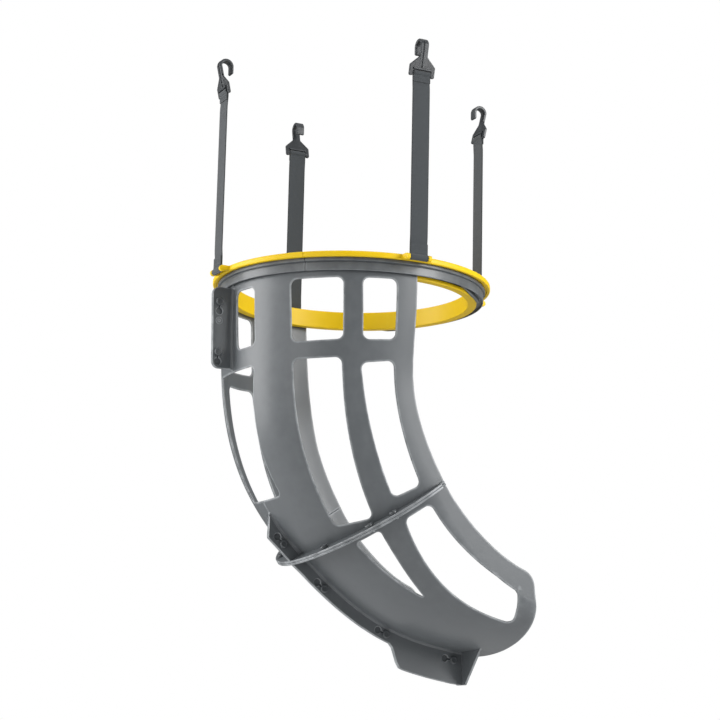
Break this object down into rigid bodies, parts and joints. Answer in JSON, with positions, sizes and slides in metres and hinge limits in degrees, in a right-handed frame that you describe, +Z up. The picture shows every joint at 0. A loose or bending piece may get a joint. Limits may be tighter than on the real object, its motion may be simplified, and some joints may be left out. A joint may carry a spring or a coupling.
{
  "type": "basketball return chute",
  "caption": "Curved slotted plastic chute hung under a basketball hoop by strap-borne hooks; it turns on a ring to send the ball back to the shooter.",
  "frame": {"origin": "centre of the four hook seats, where the part hangs from the hoop", "axes": "+Z up along the axis the chute turns about, +X the way the outlet faces, the part's right side on -Y"},
  "size_m": [0.5506, 0.5506, 1.0885],
  "materials": {
    "fixed_ring": "satin",
    "turning_ring": "satin",
    "chute": "satin",
    "studs": "satin",
    "webbing": "matt",
    "hooks": "satin"
  },
  "bodies": {
    "fixed_ring": {"fixed_ring_front": "fixed_ring", "fixed_ring_left": "fixed_ring", "fixed_ring_rear": "fixed_ring", "fixed_ring_right": "fixed_ring"},
    "chute": {"chute_lower_left": "chute", "chute_lower_right": "chute", "chute_upper_left": "chute", "chute_upper_right": "chute", "collar_stud_left_1": "studs", "collar_stud_left_2": "studs", "collar_stud_left_3": "studs", "collar_stud_right_1": "studs", "collar_stud_right_2": "studs", "collar_stud_right_3": "studs", "keel_stud_1": "studs", "keel_stud_2": "studs", "keel_stud_3": "studs", "keel_stud_4": "studs", "seam_stud_1": "studs", "seam_stud_2": "studs", "turning_ring_front": "turning_ring", "turning_ring_left": "turning_ring", "turning_ring_rear": "turning_ring", "turning_ring_right": "turning_ring"},
    "strap_front": {"strap_front": "webbing"},
    "hook_front": {"hook_front": "hooks"},
    "strap_left": {"strap_left": "webbing"},
    "hook_left": {"hook_left": "hooks"},
    "strap_rear": {"strap_rear": "webbing"},
    "hook_rear": {"hook_rear": "hooks"},
    "strap_right": {"strap_right": "webbing"},
    "hook_right": {"hook_right": "hooks"}
  },
  "joints": [
    {"name": "chute_turn", "type": "hinge", "parent": "fixed_ring", "child": "chute", "pos_m": [0, 0, -0.3995], "axis": [0, 0, 1], "continuous": true},
    {"name": "strap_front_swing", "type": "hinge", "parent": "fixed_ring", "child": "strap_front", "pos_m": [0.26, 0, -0.384], "axis": [0, 1, 0], "range_deg": [-25, 120]},
    {"name": "hook_front_swing", "type": "hinge", "parent": "strap_front", "child": "hook_front", "pos_m": [0.26, 0, -0.057], "axis": [0, 1, 0], "range_deg": [-45, 45]},
    {"name": "strap_left_swing", "type": "hinge", "parent": "fixed_ring", "child": "strap_left", "pos_m": [0, 0.26, -0.384], "axis": [-1, 0, 0], "range_deg": [-25, 120]},
    {"name": "hook_left_swing", "type": "hinge", "parent": "strap_left", "child": "hook_left", "pos_m": [0, 0.26, -0.057], "axis": [-1, 0, 0], "range_deg": [-45, 45]},
    {"name": "strap_rear_swing", "type": "hinge", "parent": "fixed_ring", "child": "strap_rear", "pos_m": [-0.26, 0, -0.384], "axis": [0, -1, 0], "range_deg": [-25, 120]},
    {"name": "hook_rear_swing", "type": "hinge", "parent": "strap_rear", "child": "hook_rear", "pos_m": [-0.26, 0, -0.057], "axis": [0, -1, 0], "range_deg": [-45, 45]},
    {"name": "strap_right_swing", "type": "hinge", "parent": "fixed_ring", "child": "strap_right", "pos_m": [0, -0.26, -0.384], "axis": [1, 0, 0], "range_deg": [-25, 120]},
    {"name": "hook_right_swing", "type": "hinge", "parent": "strap_right", "child": "hook_right", "pos_m": [0, -0.26, -0.057], "axis": [1, 0, 0], "range_deg": [-45, 45]}
  ]
}
